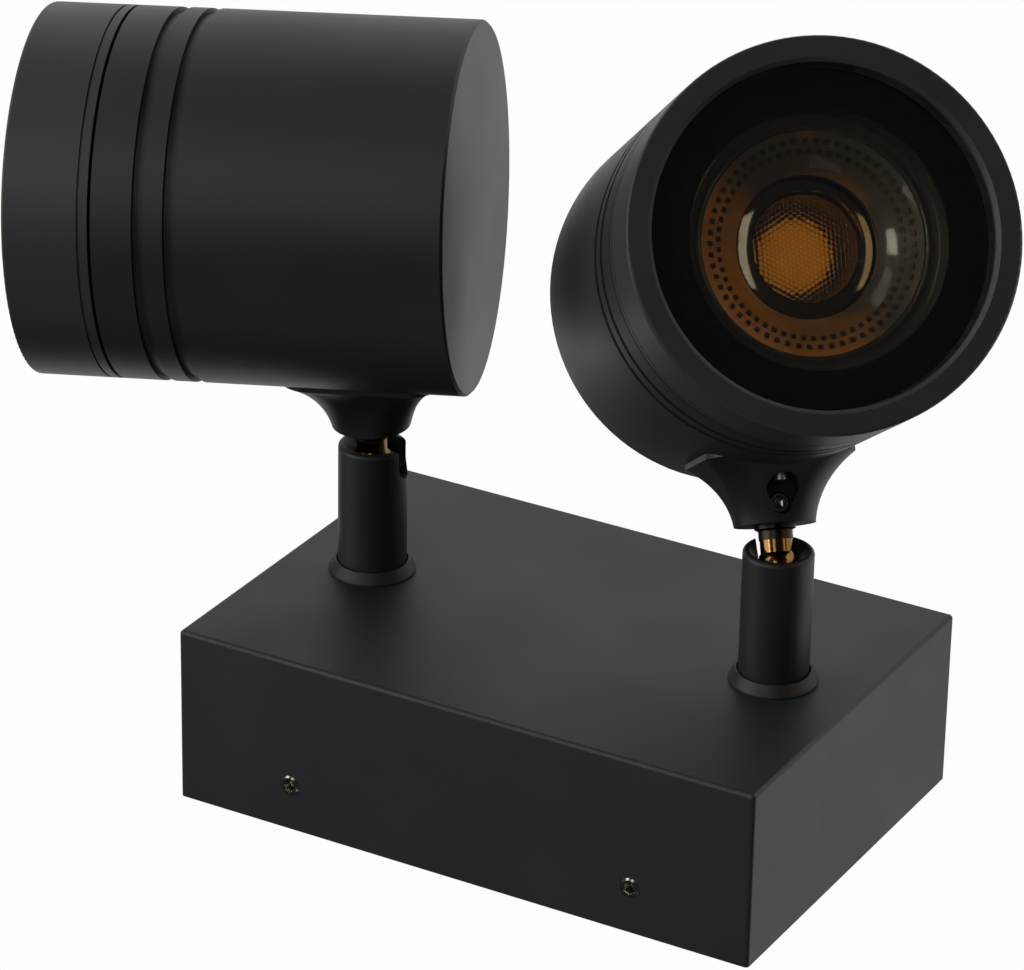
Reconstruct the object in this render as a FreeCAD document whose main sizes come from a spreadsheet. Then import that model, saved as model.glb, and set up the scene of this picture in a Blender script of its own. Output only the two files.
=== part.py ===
import FreeCAD, Part
import math
import os
import Sketcher
from types import SimpleNamespace
from FreeCAD import Matrix, Placement, Rotation, Vector

# Twin spotlight for a wall. A shallow wall box carries two short slotted stems. Each stem
# holds a ball stud, and each stud carries a saddle with a round spotlight head on it.
# Row frame: origin in the middle of the box's back, on the wall; +Z up; -Y out of the wall.

# ---------------------------------------------------------------- driving sizes, mm and degrees

SIZES = {
    # wall box
    "base_length": 120.0,
    "base_height": 81.5,
    "base_depth": 35.0,
    "base_wall": 2.5,
    "base_rounding": 0.8,
    "boss_width": 9.0,
    "boss_depth": 2.6,
    "lock_spacing": 71.8,
    "lock_inset": 9.2,
    "lock_diameter": 3.9,
    "lock_length": 6.0,
    "lock_socket": 2.0,
    # wall bracket
    "bracket_gap": 0.6,
    "bracket_thickness": 1.5,
    "tab_width": 12.0,
    "tab_height": 14.0,
    "slot_spacing": 60.0,
    "slot_width": 5.2,
    "slot_length": 14.0,
    "cable_hole": 20.0,
    "grommet_bore": 8.0,
    "grommet_lip": 2.0,
    "grommet_height": 4.0,
    # terminal block and earth screw
    "block_length": 28.0,
    "block_width": 16.0,
    "block_height": 13.0,
    "block_offset": 22.0,
    "pole_pitch": 8.5,
    "wire_entry": 4.0,
    "clamp_screw": 4.2,
    "earth_offset": 24.0,
    "earth_head": 8.0,
    "earth_shank": 4.0,
    # stems
    "stem_spacing": 85.5,
    "stem_diameter": 13.1,
    "stem_length": 26.4,
    "stem_rounding": 0.8,
    "stem_mouth": 10.9,
    "spigot_diameter": 10.4,
    "spigot_spare": 1.0,
    "washer_diameter": 16.0,
    "washer_thickness": 0.8,
    "nut_flats": 14.0,
    "nut_height": 3.0,
    "flange_diameter": 16.6,
    "flange_top": 14.4,
    "flange_height": 2.4,
    "flange_edge": 0.4,
    # knuckle: a ball with two flats
    "ball_diameter": 7.8,
    "ball_flats": 6.4,
    "ball_depth": 3.4,
    "seat_lip": 1.3,
    "seat_height": 4.0,
    "plug_height": 6.0,
    "lead_bore": 3.6,
    "neck_diameter": 6.0,
    "collar_diameter": 7.6,
    "collar_sleeve": 6.3,
    "collar_height": 2.7,
    "collar_ring": 0.7,
    "collar_taper": 0.35,
    # saddle
    "saddle_gap": 7.5,
    "saddle_height": 9.9,
    "saddle_foot": 14.8,
    "saddle_length": 30.0,
    "saddle_width": 27.5,
    "saddle_rim": 1.0,
    "cross_flare": 15.8,
    "long_flare": 20.0,
    "foot_flat": 0.3,
    "top_corner": 6.0,
    "rim_rounding": 0.4,
    "saddle_inset": 21.1,
    "recess_foot": 4.4,
    "recess_head": 6.2,
    "recess_rise": 2.0,
    "recess_floor": 5.4,
    "clamp_height": 3.6,
    "fixing_pitch": 16.0,
    "fixing_shank": 3.0,
    "fixing_head": 6.0,
    # head
    "head_diameter": 69.0,
    "head_length": 80.5,
    "head_wall": 2.5,
    "rear_wall": 4.0,
    "rear_chamfer": 0.5,
    "groove_width": 2.1,
    "groove_depth": 1.0,
    "groove_inset": 24.0,
    "groove_pitch": 5.7,
    "bezel_length": 15.9,
    "bezel_gap": 0.6,
    "bezel_line": 0.4,
    "bezel_bead": 1.6,
    "bezel_rounding": 0.5,
    "opening_diameter": 60.0,
    "lip_thickness": 1.8,
    "lip_chamfer": 0.7,
    "glass_thickness": 4.0,
    "gasket_thickness": 1.2,
    "gasket_width": 2.4,
    "thread_wall": 2.2,
    "thread_land": 3.0,
    # lamp and holder
    "lamp_setback": 9.5,
    "lamp_diameter": 50.0,
    "lamp_rim": 6.0,
    "lamp_neck": 29.0,
    "lamp_base": 22.0,
    "lamp_length": 52.0,
    "lamp_base_length": 7.0,
    "lamp_neck_length": 12.0,
    "lamp_wall": 1.4,
    "reflector_depth": 10.5,
    "reflector_floor": 22.0,
    "lamp_glass_thickness": 1.5,
    "lens_diameter": 19.6,
    "lens_height": 3.0,
    "emitter_diameter": 13.0,
    "emitter_thickness": 0.8,
    "pin_spacing": 10.0,
    "pin_head": 5.0,
    "pin_shank": 3.2,
    "pin_length": 6.0,
    "holder_length": 30.0,
    "holder_width": 17.0,
    "holder_height": 12.0,
    "strap_thickness": 1.0,
    "strap_rise": 2.6,
    "strap_width": 12.0,
    "strap_foot": 9.0,
    "strap_screw": 3.0,
    "strap_screw_head": 5.6,
    # clearances
    "running_gap": 0.05,
    "turning_gap": 0.1,
    "flange_gap": 0.3,
    "slot_gap": 0.3,
    "fitted_gap": 0.1,
}

# How each head is aimed in the photograph: the stem's turn, counted from the wall box's +X
# towards up, and the stud's tilt towards the stem's slot.
SIDES = {
    "left": {"place": -0.5, "turn": -50.5, "tilt": 31.2},
    "right": {"place": 0.5, "turn": 199.8, "tilt": -2.1},
}


class Size:
    """A size: its value, and the formula of sheet cells that features are bound to."""

    def __init__(self, value, formula):
        self.value = float(value)
        self.formula = formula

    def __add__(self, other):
        other = as_size(other)
        return Size(self.value + other.value, f"({self.formula} + {other.formula})")

    def __sub__(self, other):
        other = as_size(other)
        return Size(self.value - other.value, f"({self.formula} - {other.formula})")

    def __mul__(self, other):
        other = as_size(other)
        return Size(self.value * other.value, f"({self.formula} * {other.formula})")

    def __truediv__(self, other):
        other = as_size(other)
        return Size(self.value / other.value, f"({self.formula} / {other.formula})")

    def __neg__(self):
        return Size(-self.value, f"(-1 * {self.formula})")


def as_size(number):
    """A plain number as a size, so that formulas can mix the two."""
    return number if isinstance(number, Size) else Size(number, str(number))


def root(size):
    """The square root of a size."""
    return Size(math.sqrt(size.value), f"sqrt({size.formula})")


ZERO = Size(0, "0")

doc = FreeCAD.newDocument("wall_spotlight")
sheet = doc.addObject("Spreadsheet::Sheet", "Sizes")
cells = {}
for row, (alias, number) in enumerate(SIZES.items(), start=1):
    sheet.set(f"A{row}", alias)
    sheet.set(f"B{row}", str(number))
    sheet.setAlias(f"B{row}", alias)
    cells[alias] = Size(number, f"Sizes.{alias}")
doc.recompute()
s = SimpleNamespace(**cells)

# ---------------------------------------------------------------- worked-out sizes

spigot_length = s.base_wall + s.washer_thickness + s.nut_height + s.spigot_spare
ball_height = s.stem_length - s.ball_depth
ball_r = s.ball_diameter / 2
seat_r = ball_r + s.running_gap
neck_r = s.neck_diameter / 2
head_r = s.head_diameter / 2
bore_r = head_r - s.head_wall
thread_r = bore_r
axis_height = s.saddle_gap + s.saddle_height + head_r
body_length = s.head_length - s.bezel_length - s.bezel_gap
glass_back = s.head_length - s.lip_thickness - s.glass_thickness
spigot_end = glass_back - s.gasket_thickness
lamp_front = s.head_length - s.lamp_setback
lamp_back = lamp_front - s.lamp_length
reflector_back = lamp_front - s.reflector_depth
holder_back = s.rear_wall + s.strap_thickness + s.strap_rise
bracket_length = s.base_length - (s.base_wall + s.bracket_gap) * 2
bracket_height = s.base_height - (s.base_wall + s.boss_depth + s.bracket_gap) * 2

# ---------------------------------------------------------------- building blocks


def bind(item, **formulas):
    """Tie properties of an object to sizes; Placement.Base.z is written Placement_Base_z."""
    for name, size in formulas.items():
        item.setExpression(name.replace("_", ".") if "_" in name else name, as_size(size).formula)


def new_body(name):
    body = doc.addObject("PartDesign::Body", name)
    body.Label = name
    return body


def sketch_on(body, name, plane, height=ZERO):
    """A sketch on one of the body's own origin planes, moved along its normal."""
    sketch = body.newObject("Sketcher::SketchObject", f"{body.Name}_{name}")
    support = next(f for f in body.Origin.OriginFeatures if f.Role == f"{plane}_Plane")
    sketch.AttachmentSupport = (support, [""])
    sketch.MapMode = "FlatFace"
    sketch.AttachmentOffset = Placement(Vector(0, 0, height.value), Rotation())
    sketch.setExpression("AttachmentOffset.Base.z", height.formula)
    return sketch


def fix_point(sketch, edge, end, x, y):
    """Tie one end of an edge to a place given by two sizes; None leaves one free."""
    for kind, size in (("DistanceX", x), ("DistanceY", y)):
        if size is not None:
            index = sketch.addConstraint(Sketcher.Constraint(kind, -1, 1, edge, end, size.value))
            sketch.setExpression(f"Constraints[{index}]", size.formula)


def outline(sketch, corners):
    """A closed outline through corners (x, y). A corner (x, y, (cx, cy)) starts an arc about
    that centre to the next corner, the short way round."""
    corners = [[as_size(corner[0]), as_size(corner[1])]
               + [[as_size(part) for part in centre] for centre in corner[2:]] for corner in corners]
    first = sketch.GeometryCount
    ends = []
    for index, corner in enumerate(corners):
        following = corners[(index + 1) % len(corners)]
        start, end = (Vector(point[0].value, point[1].value, 0) for point in (corner, following))
        if len(corner) == 2:
            sketch.addGeometry(Part.LineSegment(start, end), False)
            ends.append((1, 2))
            continue
        centre = Vector(corner[2][0].value, corner[2][1].value, 0)
        clockwise = (start - centre).cross(end - centre).z < 0
        reach = [end - centre, start - centre] if clockwise else [start - centre, end - centre]
        arc = Part.Circle(centre, Vector(0, 0, 1), reach[0].Length)
        sketch.addGeometry(Part.ArcOfCircle(arc, *(math.atan2(r.y, r.x) for r in reach)), False)
        ends.append((2, 1) if clockwise else (1, 2))
    for index, corner in enumerate(corners):
        following = (index + 1) % len(corners)
        sketch.addConstraint(Sketcher.Constraint(
            "Coincident", first + index, ends[index][1], first + following, ends[following][0]))
        x, y, before = corner[0], corner[1], corners[index - 1]
        if len(before) == 3:
            away = (x - before[2][0]).value, (y - before[2][1]).value
            x, y = (None, y) if abs(away[0]) > abs(away[1]) else (x, None)
        fix_point(sketch, first + index, ends[index][0], x, y)
        if len(corner) == 3:
            fix_point(sketch, first + index, 3, *corner[2])


def circle(sketch, x, y, diameter):
    """A circle of a bound diameter at a bound place."""
    x, y = as_size(x), as_size(y)
    radius = as_size(diameter).value / 2
    edge = sketch.addGeometry(Part.Circle(Vector(x.value, y.value, 0), Vector(0, 0, 1), radius), False)
    fix_point(sketch, edge, 3, x, y)
    index = sketch.addConstraint(Sketcher.Constraint("Diameter", edge, radius * 2))
    sketch.setExpression(f"Constraints[{index}]", as_size(diameter).formula)


def rectangle(sketch, x, y, width, height):
    """A rectangle about the centre (x, y)."""
    x, y, width, height = (as_size(part) for part in (x, y, width, height))
    outline(sketch, [(x - width / 2, y - height / 2), (x + width / 2, y - height / 2),
                     (x + width / 2, y + height / 2), (x - width / 2, y + height / 2)])


def long_hole(sketch, x, y, length, width):
    """A slot with round ends that runs along x, about the centre (x, y)."""
    x, y, length, width = (as_size(part) for part in (x, y, length, width))
    reach = (length - width) / 2
    low, high = y - width / 2, y + width / 2
    outline(sketch, [(x - reach, low), (x + reach, low, (x + reach, y)), (x + reach + width / 2, y, (x + reach, y)),
                     (x + reach, high), (x - reach, high, (x - reach, y)),
                     (x - reach - width / 2, y, (x - reach, y))])


def rounded_rectangle(sketch, half_x, half_y, corner):
    """A rectangle about the origin with round corners."""
    x, y = half_x - corner, half_y - corner
    outline(sketch, [(x, -half_y, (x, -y)), (half_x, -y), (half_x, y, (x, y)),
                     (x, half_y), (-x, half_y, (-x, y)), (-half_x, y),
                     (-half_x, -y, (-x, -y)), (-x, -half_y)])


def hexagon(sketch, flats):
    """A regular hexagon about the origin, by its width across flats."""
    half = as_size(flats) / 2
    reach = half * (2 / math.sqrt(3))
    outline(sketch, [(reach, ZERO), (reach / 2, half), (-(reach / 2), half),
                     (-reach, ZERO), (-(reach / 2), -half), (reach / 2, -half)])


def pad(body, sketch, length, reverse=False):
    feature = body.newObject("PartDesign::Pad", f"{sketch.Name}_pad")
    feature.Profile = sketch
    feature.Length = as_size(length).value
    feature.setExpression("Length", as_size(length).formula)
    feature.Reversed = reverse
    return feature


def cut(body, sketch, depth, reverse=False):
    """A pocket of a given depth. It has to take material away."""
    doc.recompute()
    before = body.Shape.Volume
    feature = body.newObject("PartDesign::Pocket", f"{sketch.Name}_cut")
    feature.Profile = sketch
    feature.Length = as_size(depth).value
    feature.setExpression("Length", as_size(depth).formula)
    feature.Reversed = reverse
    doc.recompute()
    if body.Shape.Volume >= before - 1e-6:
        raise RuntimeError(f"{sketch.Name} takes nothing away")
    return feature


def turned(name, corners):
    """A body turned about +Z from an outline of (radius, height) corners."""
    body = new_body(name)
    sketch = sketch_on(body, "profile", "XZ")
    outline(sketch, corners)
    feature = body.newObject("PartDesign::Revolution", f"{name}_turn")
    feature.Profile = sketch
    feature.ReferenceAxis = (sketch, ["V_Axis"])
    feature.Angle = 360
    return body


def ring(name, inner, outer, low, high):
    """A plain turned ring between two radii and two heights."""
    return turned(name, [(inner, low), (outer, low), (outer, high), (inner, high)])


def round_edges(body, radius, chosen):
    """Round the body's edges whose middle points satisfy a test."""
    doc.recompute()
    tip = body.Tip
    names = [f"Edge{i}" for i, edge in enumerate(tip.Shape.Edges, start=1)
             if chosen(edge.valueAt((edge.FirstParameter + edge.LastParameter) / 2))]
    feature = body.newObject("PartDesign::Fillet", f"{body.Name}_rounding")
    feature.Base = (tip, names)
    feature.Radius = radius.value
    feature.setExpression("Radius", radius.formula)
    return feature


def screw(name, places, head, head_height, shank, length, recess):
    """Like screws side by side: each stands on z = 0, shank down, with a cross recess."""
    parts = []
    for index, (x, y) in enumerate(places):
        top = doc.addObject("Part::Cylinder", f"{name}_head{index}")
        bind(top, Radius=as_size(head) / 2, Height=head_height)
        stem = doc.addObject("Part::Cylinder", f"{name}_shank{index}")
        bind(stem, Radius=as_size(shank) / 2, Height=length, Placement_Base_z=-as_size(length))
        whole = doc.addObject("Part::Fuse", f"{name}_blank{index}")
        whole.Base, whole.Tool = top, stem
        slot = doc.addObject("Part::Box", f"{name}_slot{index}")
        bind(slot, Length=as_size(head) * 1.2, Width=recess, Height=head_height,
             Placement_Base_x=-(as_size(head) * 0.6), Placement_Base_y=-(as_size(recess) / 2),
             Placement_Base_z=as_size(head_height) / 2)
        one = doc.addObject("Part::Cut", f"{name}_{index}")
        one.Base, one.Tool = whole, slot
        one.Placement = Placement(Vector(as_size(x).value, as_size(y).value, 0), Rotation())
        bind(one, Placement_Base_x=x, Placement_Base_y=y)
        parts.append(one)
    if len(parts) == 1:
        parts[0].Label = name
        return parts[0]
    group = doc.addObject("Part::Compound", name)
    group.Label = name
    group.Links = parts
    return group


# ---------------------------------------------------------------- where things stand

# The wall box is drawn lying on its back: its z runs out of the wall and its y runs up.
BOX_PLACE = Placement(Vector(), Rotation(Vector(1, 0, 0), 90))
# A head is drawn from its rear face forwards: +z is the light's way, +x faces the saddle.
HEAD_TURN = Rotation(Vector(0, 0, -1), Vector(0, -1, 0), Vector(-1, 0, 0), "ZXY")

pieces = []


def keep(piece, place):
    """Stand a finished piece in its place in the lamp."""
    piece.Placement = place.multiply(piece.Placement) if piece.TypeId.startswith("Part::") else place
    pieces.append(piece)
    return piece


def stem_place(side):
    aim = SIDES[side]
    foot = Vector(s.stem_spacing.value * aim["place"], 0, s.base_depth.value)
    return BOX_PLACE.multiply(Placement(foot, Rotation(Vector(0, 0, 1), aim["turn"])))


def ball_place(side):
    tilt = Rotation(Vector(0, 1, 0), SIDES[side]["tilt"])
    return stem_place(side).multiply(Placement(Vector(0, 0, ball_height.value), tilt))


def head_place(side):
    matrix = Matrix(0, 0, -1, s.saddle_inset.value, 0, -1, 0, 0, -1, 0, 0, axis_height.value, 0, 0, 0, 1)
    return ball_place(side).multiply(Placement(matrix))


# ---------------------------------------------------------------- wall box

lock_places = [(s.lock_spacing / 2) * sign for sign in (-1, 1)]


def base_housing():
    """The cast box: five walls, open to the wall, with bosses for the locking screws."""
    body = new_body("base_housing")
    block = sketch_on(body, "block", "XY")
    rectangle(block, ZERO, ZERO, s.base_length, s.base_height)
    pad(body, block, s.base_depth)
    half_x, half_y = s.base_length.value / 2, s.base_height.value / 2
    depth = s.base_depth.value

    def outer(point):
        upright = abs(abs(point.x) - half_x) < 1e-6 and abs(abs(point.y) - half_y) < 1e-6
        return upright or abs(point.z - depth) < 1e-6

    round_edges(body, s.base_rounding, outer)
    hollow = sketch_on(body, "hollow", "XY")
    wide, tall = s.base_length / 2 - s.base_wall, s.base_height / 2 - s.base_wall
    inner = tall - s.boss_depth
    far, near = s.lock_spacing / 2 + s.boss_width / 2, s.lock_spacing / 2 - s.boss_width / 2
    outline(hollow, [
        (-wide, -tall), (-far, -tall), (-far, -inner), (-near, -inner), (-near, -tall),
        (near, -tall), (near, -inner), (far, -inner), (far, -tall), (wide, -tall),
        (wide, tall), (far, tall), (far, inner), (near, inner), (near, tall),
        (-near, tall), (-near, inner), (-far, inner), (-far, tall), (-wide, tall)])
    cut(body, hollow, s.base_depth - s.base_wall, reverse=True)
    stems = sketch_on(body, "stem_holes", "XY", s.base_depth)
    for sign in (-1, 1):
        circle(stems, (s.stem_spacing / 2) * sign, ZERO, s.spigot_diameter + s.turning_gap * 2)
    cut(body, stems, s.base_wall * 2)
    for name, level, back in (("upper", s.base_height / 2, False), ("lower", -(s.base_height / 2), True)):
        locks = sketch_on(body, f"{name}_locks", "XZ", -level)
        for x in lock_places:
            circle(locks, x, s.lock_inset, s.lock_diameter + s.running_gap * 2)
        cut(body, locks, (s.base_wall + s.boss_depth) * 1.5, reverse=not back)
    return keep(body, BOX_PLACE)


def wall_bracket():
    """The steel plate that is screwed to the wall, with a folded tab behind each lock screw."""
    body = new_body("wall_bracket")
    plate = sketch_on(body, "plate", "XY")
    rectangle(plate, ZERO, ZERO, bracket_length, bracket_height)
    pad(body, plate, s.bracket_thickness)
    tabs = sketch_on(body, "tabs", "XY")
    for x in lock_places:
        for sign in (-1, 1):
            level = (bracket_height / 2 - s.bracket_thickness / 2) * sign
            rectangle(tabs, x, level, s.tab_width, s.bracket_thickness)
    pad(body, tabs, s.tab_height)
    holes = sketch_on(body, "holes", "XY")
    circle(holes, ZERO, ZERO, s.cable_hole)
    circle(holes, ZERO, -s.earth_offset, s.earth_shank)
    for sign in (-1, 1):
        long_hole(holes, (s.slot_spacing / 2) * sign, ZERO, s.slot_length, s.slot_width)
    cut(body, holes, s.bracket_thickness * 2, reverse=True)
    return keep(body, BOX_PLACE)


def lock_screws():
    """The four hexagon-socket set screws that bear on the bracket's tabs."""
    tip = bracket_height / 2
    screws = []
    for x in lock_places:
        for sign in (-1, 1):
            name = f"lock_{len(screws)}"
            shank = doc.addObject("Part::Cylinder", f"{name}_shank")
            bind(shank, Radius=s.lock_diameter / 2, Height=s.lock_length)
            socket = doc.addObject("Part::Prism", f"{name}_socket")
            socket.Polygon = 6
            bind(socket, Circumradius=s.lock_socket / math.sqrt(3), Height=s.lock_length / 2,
                 Placement_Base_z=s.lock_length / 2)
            one = doc.addObject("Part::Cut", name)
            one.Base, one.Tool = shank, socket
            one.Placement = Placement(Vector(x.value, tip.value * sign, s.lock_inset.value),
                                      Rotation(Vector(1, 0, 0), -90 * sign))
            bind(one, Placement_Base_x=x, Placement_Base_y=tip * sign, Placement_Base_z=s.lock_inset)
            screws.append(one)
    group = doc.addObject("Part::Compound", "housing_lock_screws")
    group.Label = "housing_lock_screws"
    group.Links = screws
    return keep(group, BOX_PLACE)


def cable_grommet():
    """The soft ring that lines the bracket's cable hole."""
    hole, bore = s.cable_hole / 2, s.grommet_bore / 2
    body = turned("cable_grommet", [
        (bore, ZERO), (hole, ZERO), (hole, s.bracket_thickness),
        (hole + s.grommet_lip, s.bracket_thickness), (hole + s.grommet_lip, s.bracket_thickness * 2),
        (bore + s.grommet_lip, s.grommet_height), (bore, s.grommet_height)])
    return keep(body, BOX_PLACE)


def terminal_block():
    """The three-pole terminal block, with a clamp screw well and a wire entry at each pole."""
    body = new_body("terminal_block")
    block = sketch_on(body, "block", "XY", s.bracket_thickness)
    rectangle(block, ZERO, s.block_offset, s.block_length, s.block_width)
    pad(body, block, s.block_height)
    poles = [s.pole_pitch * step for step in (-1, 0, 1)]
    wells = sketch_on(body, "wells", "XY", s.bracket_thickness + s.block_height)
    for x in poles:
        circle(wells, x, s.block_offset, s.clamp_screw + s.turning_gap * 2)
    cut(body, wells, s.block_height / 2)
    entries = sketch_on(body, "entries", "XZ", s.block_width / 2 - s.block_offset)
    for x in poles:
        circle(entries, x, s.bracket_thickness + s.block_height * 0.35, s.wire_entry)
    cut(body, entries, s.block_width * 0.4)
    return keep(body, BOX_PLACE)


def terminal_screws():
    """The clamp screws down in the terminal block's wells."""
    places = [(s.pole_pitch * step, s.block_offset) for step in (-1, 0, 1)]
    height = s.block_height / 4
    group = screw("terminal_screws", places, s.clamp_screw, height, s.clamp_screw * 0.6,
                  height * 0.5, s.clamp_screw * 0.25)
    floor = s.bracket_thickness + s.block_height / 2
    group.Placement = Placement(Vector(0, 0, floor.value + height.value * 0.5), Rotation())
    return keep(group, BOX_PLACE)


def earth_screw():
    """The brass earth screw in the bracket."""
    one = screw("earth_screw", [(ZERO, -s.earth_offset)], s.earth_head, s.earth_head * 0.35,
                s.earth_shank, s.bracket_thickness, s.earth_head * 0.15)
    one.setExpression("Placement.Base.z", s.bracket_thickness.formula)
    doc.recompute()
    one.setExpression("Placement.Base.x", None)
    one.setExpression("Placement.Base.y", None)
    one.setExpression("Placement.Base.z", None)
    return keep(one, BOX_PLACE)


# ---------------------------------------------------------------- stem


def flange(side):
    """The low cone that trims the stem's foot."""
    inner = s.stem_diameter / 2 + s.flange_gap
    body = turned(f"stem_flange_{side}", [
        (inner, ZERO), (s.flange_diameter / 2, ZERO), (s.flange_diameter / 2, s.flange_edge),
        (s.flange_top / 2, s.flange_height), (inner, s.flange_height)])
    return keep(body, stem_place(side))


def stem(side):
    """The slotted socket tube: a threaded spigot below, and the ball's seat at its mouth."""
    outer, spigot, mouth = s.stem_diameter / 2, s.spigot_diameter / 2, s.stem_mouth / 2
    edge, top = s.stem_rounding, s.stem_length
    lip_r = root(seat_r * seat_r - s.seat_lip * s.seat_lip)
    body = turned(f"stem_{side}", [
        (seat_r, -spigot_length), (spigot, -spigot_length), (spigot, ZERO), (outer, ZERO),
        (outer, top - edge, (outer - edge, top - edge)), (outer - edge, top),
        (mouth, top), (lip_r, ball_height + s.seat_lip, (ZERO, ball_height)), (seat_r, ball_height)])
    slot = sketch_on(body, "slot", "YZ")
    width = neck_r + s.slot_gap
    high = top + s.stem_rounding
    outline(slot, [(-width, high), (-width, ball_height, (ZERO, ball_height)),
                   (ZERO, ball_height - width, (ZERO, ball_height)), (width, ball_height), (width, high)])
    cut(body, slot, s.stem_diameter, reverse=True)
    return keep(body, stem_place(side))


def stem_washer(side):
    low = -(s.base_wall + s.washer_thickness)
    body = ring(f"stem_washer_{side}", s.spigot_diameter / 2 + s.fitted_gap, s.washer_diameter / 2,
                low, -s.base_wall)
    return keep(body, stem_place(side))


def stem_nut(side):
    """The thin nut that holds the stem in the wall box."""
    body = new_body(f"stem_nut_{side}")
    flats = sketch_on(body, "flats", "XY", -(s.base_wall + s.washer_thickness))
    hexagon(flats, s.nut_flats)
    circle(flats, ZERO, ZERO, s.spigot_diameter + s.running_gap * 2)
    pad(body, flats, s.nut_height, reverse=True)
    return keep(body, stem_place(side))


def ball_seat(side):
    """The nylon cup under the ball. Its cheeks stand against the ball's flats, and a notch
    towards the slot lets the neck lie over."""
    outer, bore = s.ball_diameter / 2, s.lead_bore / 2 + s.fitted_gap
    low = ball_height - root(seat_r * seat_r - bore * bore) - s.seat_height
    high = ball_height - root(seat_r * seat_r - outer * outer)
    cup = doc.addObject("Part::Cylinder", f"seat_cup_{side}")
    bind(cup, Radius=outer, Height=high - low, Placement_Base_z=low)
    space = doc.addObject("Part::Sphere", f"seat_space_{side}")
    bind(space, Radius=seat_r, Placement_Base_z=ball_height)
    gap = s.ball_flats + s.running_gap * 2
    between = doc.addObject("Part::Box", f"seat_cheeks_{side}")
    reach = s.ball_diameter
    bind(between, Length=reach * 2, Width=gap, Height=reach * 2, Placement_Base_x=-reach,
         Placement_Base_y=-(gap / 2), Placement_Base_z=ball_height - reach)
    hollow = doc.addObject("Part::Common", f"seat_hollow_{side}")
    hollow.Base, hollow.Tool = space, between
    blank = doc.addObject("Part::Cut", f"seat_blank_{side}")
    blank.Base, blank.Tool = cup, hollow
    hole = doc.addObject("Part::Cylinder", f"seat_hole_{side}")
    bind(hole, Radius=bore, Height=(high - low) * 2, Placement_Base_z=low * 2)
    bored = doc.addObject("Part::Cut", f"seat_bored_{side}")
    bored.Base, bored.Tool = blank, hole
    notch = doc.addObject("Part::Cylinder", f"seat_notch_{side}")
    notch.Placement = Placement(Vector(0, 0, ball_height.value), Rotation(Vector(0, 1, 0), 90))
    bind(notch, Radius=neck_r + s.slot_gap, Height=reach, Placement_Base_z=ball_height)
    seat = doc.addObject("Part::Cut", f"ball_seat_{side}")
    seat.Label = f"ball_seat_{side}"
    seat.Base, seat.Tool = bored, notch
    return keep(seat, stem_place(side))


def seat_plug(side):
    """The hollow threaded plug that presses the seat up."""
    outer, bore = s.ball_diameter / 2, s.lead_bore / 2 + s.fitted_gap
    foot_drop = root(seat_r * seat_r - bore * bore)
    top = ball_height - foot_drop - s.seat_height
    return keep(ring(f"seat_plug_{side}", bore, outer, top - s.plug_height, top), stem_place(side))


# ---------------------------------------------------------------- ball stud


def ball_stud(side):
    """The hollow brass stud: a ball below, a neck, and a shank that the saddle is clamped to."""
    bore = s.lead_bore / 2
    shank_top = s.saddle_gap + s.saddle_height - s.head_wall
    neck_foot = root(ball_r * ball_r - neck_r * neck_r)
    bore_foot = root(ball_r * ball_r - bore * bore)
    body = turned(f"ball_stud_{side}", [
        (bore, -bore_foot, (ZERO, ZERO)), (ball_r, ZERO, (ZERO, ZERO)), (neck_r, neck_foot),
        (neck_r, shank_top), (bore, shank_top)])
    flats = sketch_on(body, "flats", "XY", ball_r)
    for sign in (-1, 1):
        rectangle(flats, ZERO, (s.ball_flats / 2 + ball_r / 2) * sign, s.ball_diameter, ball_r)
    cut(body, flats, s.ball_diameter)
    return keep(body, ball_place(side))


def neck_collar(side):
    """The dark lock ring between the neck and the saddle: a sleeve slimmer than the stem's slot,
    and a wider ring against the saddle."""
    top, sleeve, wide = s.saddle_gap, s.collar_sleeve / 2, s.collar_diameter / 2
    low, step = top - s.collar_height, top - s.collar_ring
    body = turned(f"neck_collar_{side}", [
        (neck_r, low), (sleeve, low), (sleeve, step - s.collar_taper), (wide, step), (wide, top),
        (neck_r, top)])
    return keep(body, ball_place(side))


# ---------------------------------------------------------------- saddle


half_width, half_length = s.saddle_width / 2, s.saddle_length / 2
foot_r = s.saddle_foot / 2
flare_rise = (s.saddle_height + head_r - root(head_r * head_r - half_width * half_width)
              - s.saddle_rim)
FLARE_STEPS = 5


def flared(half, radius, height):
    """The saddle's half size at a height: an arc that leans outwards from foot to rim."""
    run = half - foot_r
    chord = root(run * run + flare_rise * flare_rise)
    reach = root(radius * radius - chord * chord / 4) / chord
    centre_out = run / 2 + flare_rise * reach
    above = height - (flare_rise / 2 - run * reach)
    return foot_r + centre_out - root(radius * radius - above * above)


def saddle_section(body, name, height, half_x, half_y):
    """An outline across the saddle: nearly round at the foot, a rounded rectangle at the rim."""
    section = sketch_on(body, name, "XY", s.saddle_gap + height)
    foot_corner = foot_r - s.foot_flat
    share = height / flare_rise
    rounded_rectangle(section, half_x, half_y, foot_corner + (s.top_corner - foot_corner) * share)
    return section


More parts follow.
